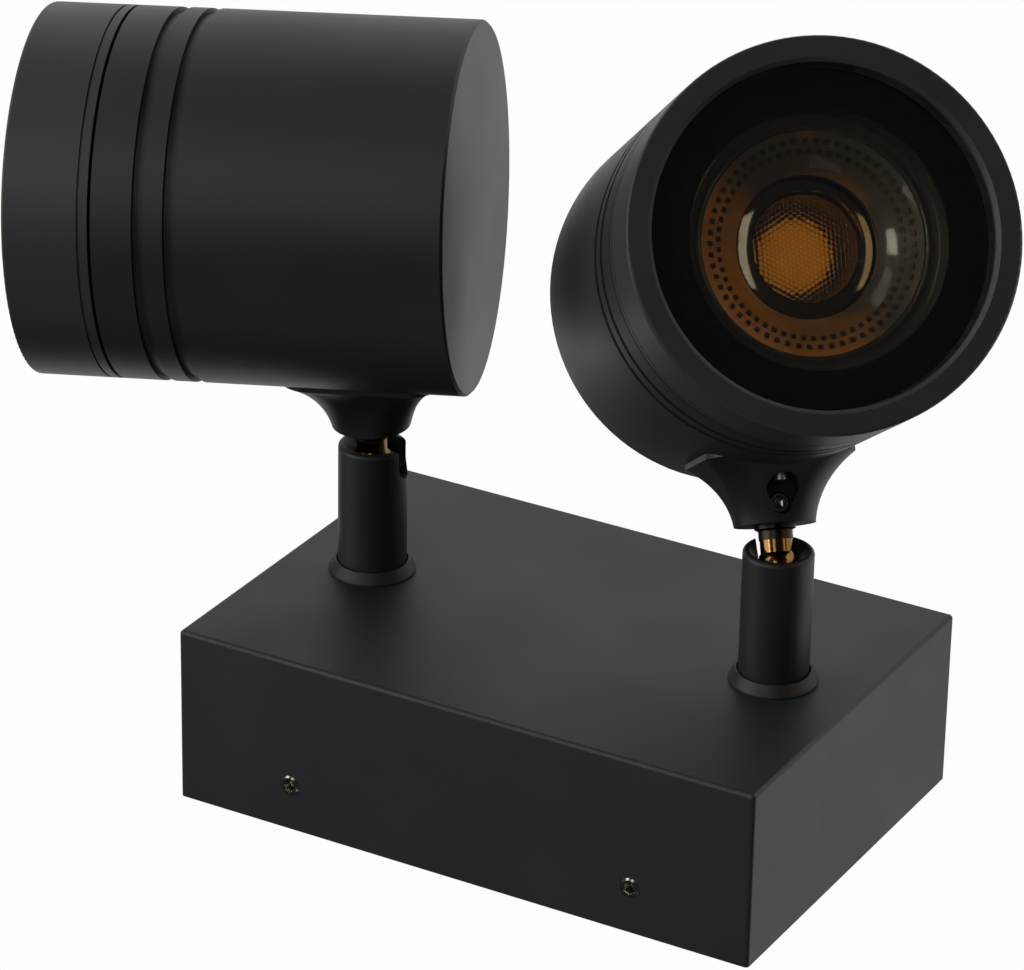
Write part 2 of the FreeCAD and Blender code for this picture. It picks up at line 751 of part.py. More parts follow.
def saddle(side):
    """The cast saddle: a round foot that flares out to hug the head's underside."""
    body = new_body(f"saddle_{side}")
    sections = [saddle_section(body, "section_foot", ZERO, foot_r, foot_r)]
    for step in range(1, FLARE_STEPS):
        height = flare_rise * (step / FLARE_STEPS)
        sections.append(saddle_section(body, f"section{step}", height,
                                       flared(half_length, s.long_flare, height),
                                       flared(half_width, s.cross_flare, height)))
    sections.append(saddle_section(body, "section_rim", flare_rise, half_length, half_width))
    loft = body.newObject("PartDesign::AdditiveLoft", f"{body.Name}_flare")
    loft.Profile = sections[0]
    loft.Sections = [(section, [""]) for section in sections[1:]]
    doc.recompute()
    rim = saddle_section(body, "rim", flare_rise, half_length, half_width)
    pad(body, rim, s.saddle_rim * 1.5)
    seat = sketch_on(body, "head_seat", "YZ", -s.saddle_length)
    circle(seat, ZERO, axis_height, s.head_diameter)
    cut(body, seat, s.saddle_length * 2, reverse=True)
    shank = sketch_on(body, "shank_bore", "XY", s.saddle_gap)
    circle(shank, ZERO, ZERO, s.neck_diameter + s.running_gap * 2)
    cut(body, shank, s.saddle_height * 2, reverse=True)
    centre = s.saddle_gap + s.clamp_height
    recess = sketch_on(body, "recess", "YZ", -s.recess_floor)
    small, large, upper = s.recess_foot / 2, s.recess_head / 2, centre + s.recess_rise
    outline(recess, [(-small, centre, (ZERO, centre)), (small, centre), (large, upper, (ZERO, upper)),
                     (-large, upper)])
    cut(body, recess, s.saddle_length)
    thread = sketch_on(body, "clamp_hole", "YZ", -s.recess_floor)
    circle(thread, ZERO, centre, s.lock_diameter + s.running_gap * 2)
    cut(body, thread, s.recess_floor, reverse=True)
    fixings = sketch_on(body, "fixing_holes", "XY", s.saddle_gap + s.saddle_height * 1.1)
    for sign in (-1, 1):
        circle(fixings, (s.fixing_pitch / 2) * sign, ZERO, s.fixing_shank)
    cut(body, fixings, s.saddle_height * 0.4)
    return keep(body, ball_place(side))


def saddle_clamp_screw(side):
    """The socket set screw that clamps the saddle to the stud's shank."""
    length = s.recess_floor - neck_r
    shank = doc.addObject("Part::Cylinder", f"clamp_shank_{side}")
    bind(shank, Radius=s.lock_diameter / 2, Height=length)
    socket = doc.addObject("Part::Prism", f"clamp_socket_{side}")
    socket.Polygon = 6
    bind(socket, Circumradius=s.lock_socket / math.sqrt(3), Height=length, Placement_Base_z=length / 3)
    one = doc.addObject("Part::Cut", f"saddle_clamp_screw_{side}")
    one.Label = f"saddle_clamp_screw_{side}"
    one.Base, one.Tool = shank, socket
    centre = s.saddle_gap + s.clamp_height
    one.Placement = Placement(Vector(-neck_r.value, 0, centre.value), Rotation(Vector(0, 1, 0), -90))
    return keep(one, ball_place(side))


# ---------------------------------------------------------------- head


def head_body(side):
    """The turned can: closed behind, two grooves round it, a threaded spigot in front."""
    wall, rear, edge = s.head_wall, s.rear_wall, s.rear_chamfer
    spigot_r = thread_r - s.thread_wall
    front = body_length
    groove = [s.head_length - s.groove_inset - s.groove_pitch * step for step in (1, 0)]
    corners = [(ZERO, ZERO), (head_r - edge, ZERO), (head_r, edge)]
    for high in groove:
        low = high - s.groove_width
        corners += [(head_r, low), (head_r - s.groove_depth, low), (head_r - s.groove_depth, high),
                    (head_r, high)]
    corners += [(head_r, front), (thread_r, front), (thread_r, spigot_end), (spigot_r, spigot_end),
                (spigot_r, front - s.thread_land), (bore_r, front - s.thread_land - s.thread_wall),
                (bore_r, rear), (ZERO, rear)]
    body = turned(f"head_body_{side}", corners)
    lead = sketch_on(body, "lead_hole", "YZ", bore_r - wall)
    circle(lead, ZERO, s.saddle_inset, s.neck_diameter + s.fitted_gap * 2)
    cut(body, lead, wall * 3, reverse=True)
    fixings = sketch_on(body, "fixing_holes", "YZ", bore_r - wall)
    for sign in (-1, 1):
        circle(fixings, ZERO, s.saddle_inset + (s.fixing_pitch / 2) * sign, s.fixing_shank + s.fitted_gap * 2)
    cut(body, fixings, wall * 3, reverse=True)
    strap = sketch_on(body, "strap_holes", "XY", rear)
    for sign in (-1, 1):
        circle(strap, ZERO, strap_screw_place * sign, s.strap_screw)
    cut(body, strap, rear * 0.6)
    return keep(body, head_place(side))


def saddle_fixing_screws(side):
    """The two screws that hold the saddle from inside the head."""
    underside = root(bore_r * bore_r - s.fixing_head * s.fixing_head / 4)
    length = head_r - underside + s.saddle_height * 0.25
    places = [((s.fixing_pitch / 2) * sign, ZERO) for sign in (-1, 1)]
    group = screw(f"saddle_fixing_screws_{side}", places, s.fixing_head, s.fixing_head * 0.35,
                  s.fixing_shank, length, s.fixing_head * 0.15)
    matrix = Matrix(0, 0, -1, underside.value, 0, 1, 0, 0, 1, 0, 0, s.saddle_inset.value, 0, 0, 0, 1)
    group.Placement = Placement(matrix)
    return keep(group, head_place(side))


def front_bezel(side):
    """The screw-on front ring: a flat face, a lip over the glass and a fine line near its end."""
    front, back = s.head_length, s.head_length - s.bezel_length
    bore = thread_r + s.running_gap
    opening, edge = s.opening_diameter / 2, s.bezel_rounding
    line_low = back + s.bezel_bead
    line_high = line_low + s.bezel_line
    body = turned(f"front_bezel_{side}", [
        (bore, back), (head_r, back), (head_r, line_low), (head_r - s.bezel_line, line_low),
        (head_r - s.bezel_line, line_high), (head_r, line_high),
        (head_r, front - edge, (head_r - edge, front - edge)), (head_r - edge, front),
        (opening + s.lip_chamfer, front), (opening, front - s.lip_chamfer),
        (opening, front - s.lip_thickness), (bore, front - s.lip_thickness)])
    return keep(body, head_place(side))


def front_glass(side):
    body = turned(f"front_glass_{side}", [
        (ZERO, glass_back), (thread_r - s.fitted_gap, glass_back),
        (thread_r - s.fitted_gap, glass_back + s.glass_thickness), (ZERO, glass_back + s.glass_thickness)])
    return keep(body, head_place(side))


def glass_gasket(side):
    body = ring(f"glass_gasket_{side}", thread_r - s.gasket_width, thread_r - s.fitted_gap,
                spigot_end, glass_back)
    return keep(body, head_place(side))


# ---------------------------------------------------------------- lamp and its holder


def lamp_body(side):
    """The reflector lamp's shell: a wide rim, a cone, a neck and a base, open in front."""
    rim, neck, base = s.lamp_diameter / 2, s.lamp_neck / 2, s.lamp_base / 2
    neck_top = lamp_back + s.lamp_base_length + s.lamp_neck_length
    inner = rim - s.lamp_wall
    body = turned(f"lamp_body_{side}", [
        (ZERO, lamp_back), (base, lamp_back), (base, lamp_back + s.lamp_base_length),
        (neck, lamp_back + s.lamp_base_length), (neck, neck_top), (rim, lamp_front - s.lamp_rim),
        (rim, lamp_front), (inner, lamp_front), (inner, lamp_front - s.lamp_glass_thickness),
        (inner - s.lamp_wall, lamp_front - s.lamp_glass_thickness),
        (s.reflector_floor / 2, reflector_back), (ZERO, reflector_back)])
    return keep(body, head_place(side))


def lamp_glass(side):
    """The lamp's own clear cover, let into its rim."""
    edge = s.lamp_diameter / 2 - s.lamp_wall - s.fitted_gap
    low = lamp_front - s.lamp_glass_thickness
    body = turned(f"lamp_glass_{side}", [(ZERO, low), (edge, low), (edge, lamp_front), (ZERO, lamp_front)])
    return keep(body, head_place(side))


def lamp_emitter(side):
    body = turned(f"lamp_emitter_{side}", [
        (ZERO, reflector_back), (s.emitter_diameter / 2, reflector_back),
        (s.emitter_diameter / 2, reflector_back + s.emitter_thickness),
        (ZERO, reflector_back + s.emitter_thickness)])
    return keep(body, head_place(side))


def lamp_lens(side):
    """The collimating lens over the emitter: a cup with a domed front."""
    outer, clear = s.lens_diameter / 2, s.emitter_diameter / 2 + s.fitted_gap
    top = reflector_back + s.lens_height
    shelf = reflector_back + s.emitter_thickness + s.fitted_gap
    body = turned(f"lamp_lens_{side}", [
        (clear, reflector_back), (outer, reflector_back), (outer, top - s.lens_height / 3),
        (clear, top), (ZERO, top + s.lens_height / 4), (ZERO, shelf), (clear, shelf)])
    return keep(body, head_place(side))


def lamp_pins(side):
    """The two headed pins of the lamp's base."""
    pins = []
    for sign in (-1, 1):
        name = f"lamp_pin_{side}_{len(pins)}"
        shank = doc.addObject("Part::Cylinder", f"{name}_shank")
        bind(shank, Radius=s.pin_shank / 2, Height=s.pin_length)
        head = doc.addObject("Part::Cylinder", f"{name}_head")
        bind(head, Radius=s.pin_head / 2, Height=s.pin_length / 3)
        one = doc.addObject("Part::Fuse", name)
        one.Base, one.Tool = shank, head
        one.Placement = Placement(Vector(0, s.pin_spacing.value / 2 * sign, 0), Rotation())
        bind(one, Placement_Base_y=(s.pin_spacing / 2) * sign)
        pins.append(one)
    group = doc.addObject("Part::Compound", f"lamp_pins_{side}")
    group.Label = f"lamp_pins_{side}"
    group.Links = pins
    group.Placement = Placement(Vector(0, 0, (lamp_back - s.pin_length).value), Rotation())
    return keep(group, head_place(side))


def lamp_holder(side):
    """The ceramic holder, with a well for each pin."""
    body = new_body(f"lamp_holder_{side}")
    block = sketch_on(body, "block", "XY", lamp_back - s.holder_height)
    long_hole(block, ZERO, ZERO, s.holder_length, s.holder_width)
    pad(body, block, s.holder_height)
    wells = sketch_on(body, "wells", "XY", lamp_back)
    for sign in (-1, 1):
        circle(wells, ZERO, (s.pin_spacing / 2) * sign, s.pin_head + s.fitted_gap * 2)
    cut(body, wells, s.pin_length + s.fitted_gap)
    return keep(body, head_place(side))


strap_screw_place = s.holder_width / 2 + s.strap_foot / 2


def holder_strap(side):
    """The bent strap that carries the holder off the head's rear wall."""
    body = new_body(f"holder_strap_{side}")
    bend = sketch_on(body, "bend", "YZ", -(s.strap_width / 2))
    foot, rise, sheet_t = s.strap_foot, lamp_back - s.holder_height - s.rear_wall, s.strap_thickness
    near = s.holder_width / 2
    low = s.rear_wall
    outline(bend, [
        (-(near + foot), low), (-near + sheet_t, low), (-near + sheet_t, low + rise - sheet_t),
        (near - sheet_t, low + rise - sheet_t), (near - sheet_t, low), (near + foot, low),
        (near + foot, low + sheet_t), (near, low + sheet_t), (near, low + rise),
        (-near, low + rise), (-near, low + sheet_t), (-(near + foot), low + sheet_t)])
    pad(body, bend, s.strap_width)
    holes = sketch_on(body, "holes", "XY", low + sheet_t)
    for sign in (-1, 1):
        circle(holes, ZERO, strap_screw_place * sign, s.strap_screw + s.fitted_gap * 2)
    cut(body, holes, sheet_t * 1.5)
    return keep(body, head_place(side))


def strap_screws(side):
    """The screws that fix the strap's feet to the rear wall."""
    places = [(ZERO, strap_screw_place * sign) for sign in (-1, 1)]
    group = screw(f"strap_screws_{side}", places, s.strap_screw_head, s.strap_screw_head * 0.4,
                  s.strap_screw, s.strap_thickness + s.rear_wall * 0.5, s.strap_screw_head * 0.15)
    group.Placement = Placement(Vector(0, 0, (s.rear_wall + s.strap_thickness).value), Rotation())
    return keep(group, head_place(side))


# ---------------------------------------------------------------- build and write

for make in (base_housing, wall_bracket, lock_screws, cable_grommet, terminal_block,
             terminal_screws, earth_screw):
    make()
for side in SIDES:
    for make in (flange, stem, stem_washer, stem_nut, ball_seat, seat_plug, ball_stud, neck_collar,
                 saddle, saddle_clamp_screw, head_body, saddle_fixing_screws, front_bezel,
                 front_glass, glass_gasket, lamp_body, lamp_glass, lamp_emitter, lamp_lens,
                 lamp_pins, lamp_holder, holder_strap, strap_screws):
        make(side)
doc.recompute()

faults = [item.Name for item in doc.Objects if "Invalid" in item.State or "Error" in item.State]
faults += [piece.Label for piece in pieces if piece.Shape.isNull() or not piece.Shape.isValid()]
if faults:
    raise RuntimeError(f"not built: {faults}")

os.makedirs("parts", exist_ok=True)
for piece in pieces:
    piece.Shape.exportStep(f"parts/{piece.Label}.step")
    print(f"{piece.Label:28s} {len(piece.Shape.Solids)} solids {piece.Shape.Volume:10.1f} mm3")
print(len(pieces), "pieces")
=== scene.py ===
# %% [markdown]
# # A twin spotlight for a wall
#
# A powder-coated wall box carries two short slotted stems. Each stem holds a brass ball stud,
# and each stud carries a flared saddle with a round spotlight head on it. The shapes come from
# the CAD frame, in metres, with +Z up and the wall at y = 0. This lesson dresses them: it gives
# every node a material that says how the real piece was made, adds the fine pieces that the CAD
# leaves out, and sets up a plain studio.

import math

import bmesh
import bpy
from mathutils import Matrix, Vector


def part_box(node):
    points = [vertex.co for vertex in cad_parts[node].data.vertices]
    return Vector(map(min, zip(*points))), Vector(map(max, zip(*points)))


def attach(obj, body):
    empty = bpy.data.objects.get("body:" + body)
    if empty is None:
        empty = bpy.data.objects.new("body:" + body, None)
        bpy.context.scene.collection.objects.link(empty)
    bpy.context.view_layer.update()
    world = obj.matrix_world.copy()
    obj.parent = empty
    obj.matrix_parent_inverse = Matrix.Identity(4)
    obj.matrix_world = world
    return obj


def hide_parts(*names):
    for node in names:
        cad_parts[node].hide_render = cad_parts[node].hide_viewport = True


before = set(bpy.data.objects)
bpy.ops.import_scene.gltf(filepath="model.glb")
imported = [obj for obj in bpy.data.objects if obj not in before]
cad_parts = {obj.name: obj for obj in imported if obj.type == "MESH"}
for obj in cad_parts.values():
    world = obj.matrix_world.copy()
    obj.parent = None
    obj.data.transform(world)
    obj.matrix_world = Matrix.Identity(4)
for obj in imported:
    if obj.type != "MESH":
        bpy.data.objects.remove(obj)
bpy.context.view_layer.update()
MM = 0.001
SIDES = ("left", "right")

# %% [markdown]
# ## Where each head points
#
# Everything on a head is round about the head's own axis, which is tilted in space. The head's
# frame is worked out once from the same few angles and lengths that built the CAD: the stem's
# turn, the stud's tilt and the saddle's place. Then a fine piece can be drawn upright, about Z,
# and laid into its head by one matrix.

# %% Frames of the stems, studs and heads
STEM_OFFSET = 42.75 * MM
BOX_DEPTH = 35.0 * MM
BALL_HEIGHT = 23.0 * MM
SADDLE_INSET = 21.1 * MM
HEAD_AXIS = 51.9 * MM
# for each side: which way it lies from the middle, the stem's turn and the stud's tilt in degrees
AIM = {"left": (-1, -50.5, 31.2), "right": (1, 199.8, -2.1)}


def turn(axis, degrees):
    return Matrix.Rotation(math.radians(degrees), 4, axis)


def stem_frame(side):
    """z runs out of the wall along the stem, x points to the stem's slot."""
    sign, swivel, _ = AIM[side]
    foot = Matrix.Translation((sign * STEM_OFFSET, -BOX_DEPTH, 0))
    return foot @ turn("X", 90) @ turn("Z", swivel)


def stud_frame(side):
    """z runs up the stud from the middle of its ball."""
    return stem_frame(side) @ Matrix.Translation((0, 0, BALL_HEIGHT)) @ turn("Y", AIM[side][2])


def head_frame(side):
    """z runs along the head from the middle of its rear face, the way the light goes."""
    axes = Matrix(((0, 0, -1, SADDLE_INSET), (0, -1, 0, 0), (-1, 0, 0, HEAD_AXIS), (0, 0, 0, 1)))
    return stud_frame(side) @ axes


for side in SIDES:
    way = head_frame(side).to_3x3() @ Vector((0, 0, 1))
    print(side, "light goes", [round(part, 3) for part in way])

# %% [markdown]
# ## Small helpers
#
# Blender mixes colours in linear light, while the colours given here are sRGB hex values, so one
# function turns one into the other. Another adds a shader node, with its settings and links, so
# that a material reads as a short list of what feeds what. A noise texture gives values from
# about 0.3 to 0.7, and each finish maps that span to its own range of tint or roughness.

# %% Colours and nodes
NOISE_SPAN = {"From_Min": 0.3, "From_Max": 0.7}


def colour(code):
    """An sRGB hex colour as linear red, green, blue and alpha."""
    parts = [int(code[i:i + 2], 16) / 255 for i in (1, 3, 5)]
    return [part / 12.92 if part <= 0.04045 else ((part + 0.055) / 1.055) ** 2.4
            for part in parts] + [1.0]


def add(tree, kind, settings=None, **inputs):
    """Adds a node. Inputs are values, or (node, output) pairs to link from."""
    node = tree.nodes.new(kind)
    for name, value in (settings or {}).items():
        setattr(node, name, value)
    for name, value in inputs.items():
        if name[1:].isdigit():
            socket = node.inputs[int(name[1:])]
        else:
            socket = node.inputs[name.replace("_", " ")]
        if isinstance(value, tuple) and hasattr(value[0], "outputs"):
            tree.links.new(value[0].outputs[value[1]], socket)
        else:
            socket.default_value = value
    return node


def material(name):
    """An empty material, its node tree and its output node."""
    made = bpy.data.materials.new(name)
    made.use_nodes = True
    made.node_tree.nodes.clear()
    out = made.node_tree.nodes.new("ShaderNodeOutputMaterial")
    return made, made.node_tree, out


def dress(node, finish):
    """Gives a CAD node's object one finish all over."""
    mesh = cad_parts[node].data
    mesh.materials.clear()
    mesh.materials.append(finish)


# %% [markdown]
# ## Powder coat
#
# The box, stems, saddles and heads are aluminium castings and turned parts with a matt anthracite
# powder coat. The powder melts into a skin that is never quite flat: it keeps a fine orange-peel
# grain of about a third of a millimetre. Light comes back from it as a broad soft sheen, so the
# coat is a dielectric with a high roughness, and the grain is a bump from a fine noise.

# %% Powder coats
GRAIN_MM, GRAIN_DEPTH_MM = 0.35, 0.02
CLOUD_MM, CLOUD_SHADE, CLOUD_GLOSS = 26, 0.08, 0.03


def powder_coat(name, hex_colour, roughness):
    made, tree, out = material(name)
    place = add(tree, "ShaderNodeTexCoord")
    grain = add(tree, "ShaderNodeTexNoise", Vector=(place, "Object"),
                Scale=1 / (GRAIN_MM * MM), Detail=2.0, Roughness=0.5)
    cloud = add(tree, "ShaderNodeTexNoise", Vector=(place, "Object"),
                Scale=1 / (CLOUD_MM * MM), Detail=3.0)
    spread = add(tree, "ShaderNodeMapRange", Value=(cloud, "Fac"), **NOISE_SPAN,
                 To_Min=1 - CLOUD_SHADE, To_Max=1 + CLOUD_SHADE)
    tint = add(tree, "ShaderNodeMix", {"data_type": "RGBA", "blend_type": "MULTIPLY"},
               _0=1.0, _6=colour(hex_colour), _7=(spread, "Result"))
    rough = add(tree, "ShaderNodeMapRange", Value=(cloud, "Fac"), **NOISE_SPAN,
                To_Min=roughness - CLOUD_GLOSS, To_Max=roughness + CLOUD_GLOSS)
    bump = add(tree, "ShaderNodeBump", Height=(grain, "Fac"), Distance=GRAIN_DEPTH_MM * MM,
               Strength=1.0)
    coat = add(tree, "ShaderNodeBsdfPrincipled", Base_Color=(tint, 2), Roughness=(rough, "Result"),
               IOR=1.5, Normal=(bump, "Normal"))
    tree.links.new(coat.outputs[0], out.inputs[0])
    return made


COATS = {
    "box": ("#222629", 0.52, ("base_housing",)),
    "head": ("#1f2124", 0.5, ("head_body_left", "head_body_right")),
    # the bezel has the head's coat, painted lighter: its colour holds painted light on its front
    # face
    "bezel": ("#2f3338", 0.5, ("front_bezel_left", "front_bezel_right")),
    "stem": ("#1c1e20", 0.53,
             ("stem_left", "stem_right", "stem_flange_left", "stem_flange_right")),
    "saddle": ("#1a1b1d", 0.5, ("saddle_left", "saddle_right")),
}
for coated, (hex_colour, roughness, nodes) in COATS.items():
    coat = powder_coat(f"powder_coat_{coated}", hex_colour, roughness)
    for node in nodes:
        dress(node, coat)
    print("powder coat on", ", ".join(nodes))

# %% [markdown]
# ## Metals
#
# Brass, plated steel and blackened steel are all metallic: their colour is the colour of their
# reflection. Turning, drawing and plating leave faint marks a fifth of a millimetre apart, so a
# fine noise varies the roughness and lifts a very low bump.

# %% Metals
MARK_MM, MARK_DEPTH_MM = 0.2, 0.004


def metal(name, hex_colour, roughness, spread=0.08):
    made, tree, out = material(name)
    place = add(tree, "ShaderNodeTexCoord")
    marks = add(tree, "ShaderNodeTexNoise", Vector=(place, "Object"),
                Scale=1 / (MARK_MM * MM), Detail=3.0)
    rough = add(tree, "ShaderNodeMapRange", Value=(marks, "Fac"), **NOISE_SPAN,
                To_Min=roughness - spread, To_Max=roughness + spread)
    bump = add(tree, "ShaderNodeBump", Height=(marks, "Fac"), Distance=MARK_DEPTH_MM * MM,
               Strength=0.6)
    skin = add(tree, "ShaderNodeBsdfPrincipled", Base_Color=colour(hex_colour), Metallic=1.0,
               Roughness=(rough, "Result"), Normal=(bump, "Normal"))
    tree.links.new(skin.outputs[0], out.inputs[0])
    return made


brass = metal("turned_brass", "#7c5d33", 0.16)
earth_brass = metal("drawn_brass", "#c79a50", 0.35)
black_steel = metal("blackened_steel", "#a39e95", 0.2)
zinc_steel = metal("zinc_plated_steel", "#a9abad", 0.38)
nickel = metal("nickel_plate", "#bdbab2", 0.2)
collar_steel = metal("oxidised_steel", "#332c25", 0.36)
dress("wall_bracket", zinc_steel)
dress("terminal_screws", zinc_steel)
dress("earth_screw", earth_brass)
for side in SIDES:
    dress(f"ball_stud_{side}", brass)
    dress(f"neck_collar_{side}", collar_steel)
    dress(f"lamp_pins_{side}", nickel)
    for name in ("stem_washer", "stem_nut", "seat_plug", "saddle_fixing_screws",
                 "holder_strap", "strap_screws"):
        dress(f"{name}_{side}", zinc_steel)
print("metals", [finish.name for finish in (brass, black_steel, zinc_steel, nickel)])

# %% [markdown]
# ## Plastics, rubber and ceramic
#
# Moulded nylon and lamp plastic are slightly waxy, rubber is dull, and the lamp holder is a
# glazed ceramic with a smooth bright skin. Each gets a faint mottle from its making.

# %% Mouldings
MOTTLE_MM, MOTTLE_DEPTH_MM, MOTTLE_SHADE = 2.0, 0.01, 0.05


def moulding(name, hex_colour, roughness, coat=0.0):
    made, tree, out = material(name)
    place = add(tree, "ShaderNodeTexCoord")
    mottle = add(tree, "ShaderNodeTexNoise", Vector=(place, "Object"),
                 Scale=1 / (MOTTLE_MM * MM), Detail=4.0)
    spread = add(tree, "ShaderNodeMapRange", Value=(mottle, "Fac"), **NOISE_SPAN,
                 To_Min=1 - MOTTLE_SHADE, To_Max=1 + MOTTLE_SHADE)
    tint = add(tree, "ShaderNodeMix", {"data_type": "RGBA", "blend_type": "MULTIPLY"},
               _0=1.0, _6=colour(hex_colour), _7=(spread, "Result"))
    bump = add(tree, "ShaderNodeBump", Height=(mottle, "Fac"), Distance=MOTTLE_DEPTH_MM * MM,
               Strength=0.5)
    skin = add(tree, "ShaderNodeBsdfPrincipled", Base_Color=(tint, 2), Roughness=roughness,
               Coat_Weight=coat, Normal=(bump, "Normal"))
    tree.links.new(skin.outputs[0], out.inputs[0])
    return made


nylon = moulding("moulded_nylon", "#cfcabb", 0.45)
rubber = moulding("moulded_rubber", "#161617", 0.7)
white_plastic = moulding("moulded_terminal_plastic", "#d6d5cd", 0.4)
ceramic = moulding("glazed_ceramic", "#ddd9cc", 0.2, coat=0.5)
lamp_white = moulding("moulded_lamp_shell", "#d2d1cb", 0.35)
dress("cable_grommet", rubber)
dress("terminal_block", white_plastic)
for side in SIDES:
    dress(f"ball_seat_{side}", nylon)
    dress(f"glass_gasket_{side}", rubber)
    dress(f"lamp_holder_{side}", ceramic)
print("mouldings", [finish.name for finish in (nylon, rubber, white_plastic, ceramic)])

# %% [markdown]
# ## Glass
#
# The front glass is clear and hardened, and the lamp has a clear cover and a clear lens. A shadow
# ray sees them as merely transparent, so that light from the room reaches the lamp behind them.

# %% Clear glass


def clear_glass(name, hex_colour="#f4f7f6", roughness=0.0, ior=1.45):
    made, tree, out = material(name)
    path = add(tree, "ShaderNodeLightPath")
    glass = add(tree, "ShaderNodeBsdfPrincipled", Base_Color=colour(hex_colour),
                Roughness=roughness, IOR=ior, Transmission_Weight=1.0)
    clear = add(tree, "ShaderNodeBsdfTransparent", Color=colour(hex_colour))
    mixed = add(tree, "ShaderNodeMixShader", _0=(path, "Is Shadow Ray"), _1=(glass, 0),
                _2=(clear, 0))
    tree.links.new(mixed.outputs[0], out.inputs[0])
    return made


window_glass = clear_glass("hardened_glass")
lens_plastic = clear_glass("moulded_acrylic", "#f3eee2", 0.02, 1.49)
for side in SIDES:
    dress(f"front_glass_{side}", window_glass)
    dress(f"lamp_glass_{side}", lens_plastic)
print("clear", window_glass.name, lens_plastic.name)

# %% [markdown]
# ## Making fine pieces
#
# Most fine pieces are rings about one axis: screws, the lamp's shell and its optic. They are spun
# from a short profile of (radius, height) points, upright about Z, and one matrix lays them into
# their place, so that the finished object stays at the origin like a CAD node.

# %% Helpers for new pieces
SMOOTH_UNDER, MERGE_MM = 34, 0.002


def piece_from(name, shape, finish, body, stands_for=()):
    """Makes a bmesh into a piece that rides with a body."""
    bmesh.ops.recalc_face_normals(shape, faces=shape.faces)
    mesh = bpy.data.meshes.new(name)
    shape.to_mesh(mesh)
    shape.free()
    mesh.materials.append(finish)
    mesh.shade_smooth()
    mesh.set_sharp_from_angle(angle=math.radians(SMOOTH_UNDER))
    piece = bpy.data.objects.new(name, mesh)
    bpy.context.scene.collection.objects.link(piece)
    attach(piece, body)
    if stands_for:
        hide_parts(*stands_for)
    print(name, len(mesh.polygons), "faces")
    return piece


def spun(corners, steps=96):
    """A closed profile of (radius, height) in mm, spun round Z."""
    shape = bmesh.new()
    verts = [shape.verts.new((radius * MM, 0, height * MM)) for radius, height in corners]
    edges = [shape.edges.new(pair) for pair in zip(verts, verts[1:] + verts[:1])]
    bmesh.ops.spin(shape, geom=verts + edges, cent=(0, 0, 0), axis=(0, 0, 1), dvec=(0, 0, 0),
                   angle=math.tau, steps=steps, use_merge=True, use_duplicate=False)
    bmesh.ops.remove_doubles(shape, verts=shape.verts, dist=MERGE_MM * MM)
    return shape


def arc(centre, radius, start, end, steps):
    """Points along an arc in the profile's plane, with angles in degrees from the radius."""
    turns = [math.radians(start + (end - start) * step / steps) for step in range(steps + 1)]
    return [(centre[0] + radius * math.cos(a), centre[1] + radius * math.sin(a)) for a in turns]


def head_ring(name, side, corners, finish, steps=96, stands_for=()):
    """A profile spun about the axis of one head, as a piece that rides with that head."""
    ring = spun(corners, steps)
    ring.transform(head_frame(side))
    return piece_from(f"{name}_{side}", ring, finish, f"head_{side}_assembly", stands_for)


# %% [markdown]
# ## Set screws
#
# The box is locked on its bracket by four hexagon-socket set screws, and each saddle is clamped
# by one. A real set screw has a chamfered rim and a small bevel round its socket, and those catch
# the light as thin bright rings. The screw is spun, and then the socket's rings are pushed out
# from a circle to a hexagon. Each screw stands where the last turn left it, so no two sockets of
# the box have the same angle.

# %% Set screws with a hexagon socket
SCREW_R, SCREW_RIM = 1.95, 0.32
SOCKET_HALF, SOCKET_BEVEL, SOCKET_DEPTH, DRILL_TIP = 1.0, 0.16, 1.9, 0.4
HAIR = 0.01


def set_screw(length):
    """A set screw that stands on z = 0 with its socket at the top, in metres."""
    floor, mouth = length - SOCKET_DEPTH, SOCKET_HALF + SOCKET_BEVEL
    shape = spun([(0, 0), (SCREW_R - SCREW_RIM, 0), (SCREW_R, SCREW_RIM),
                  (SCREW_R, length - SCREW_RIM), (SCREW_R - SCREW_RIM, length), (mouth, length),
                  (SOCKET_HALF, length - SOCKET_BEVEL), (SOCKET_HALF, floor),
                  (0, floor - DRILL_TIP)], steps=48)
    for vert in shape.verts:
        radius, height = math.hypot(vert.co.x, vert.co.y) / MM, vert.co.z / MM
        if SOCKET_HALF / 2 < radius < mouth + HAIR and height > floor - HAIR:
            around = math.degrees(math.atan2(vert.co.y, vert.co.x)) % 60 - 30
            vert.co.xy *= 1 / math.cos(math.radians(around))
    return shape


def merged(shapes):
    """Several bmeshes as one."""
    whole = bmesh.new()
    for shape in shapes:
        part = bpy.data.meshes.new("part")
        shape.to_mesh(part)
        shape.free()
        whole.from_mesh(part)
        bpy.data.meshes.remove(part)
    return whole


# %% The four screws of the box
LOCK_X, LOCK_LEVEL, LOCK_IN, LOCK_LENGTH = 35.9, 35.05, 9.2, 6.0
locks = []
for x in (-LOCK_X, LOCK_X):
    for up in (1, -1):
        screw = set_screw(LOCK_LENGTH)
        spot = Matrix.Translation((x * MM, -LOCK_IN * MM, up * LOCK_LEVEL * MM))
        outward = turn("X", 0 if up == 1 else 180)
        own_angle = turn("Z", 11 * up + x)
        screw.transform(spot @ outward @ own_angle)
        locks.append(screw)
piece_from("lock_screws", merged(locks), black_steel, "wall_box", ("housing_lock_screws",))
screw_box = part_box("housing_lock_screws")
print("screw box", [round(v / MM, 2) for corner in screw_box for v in corner])

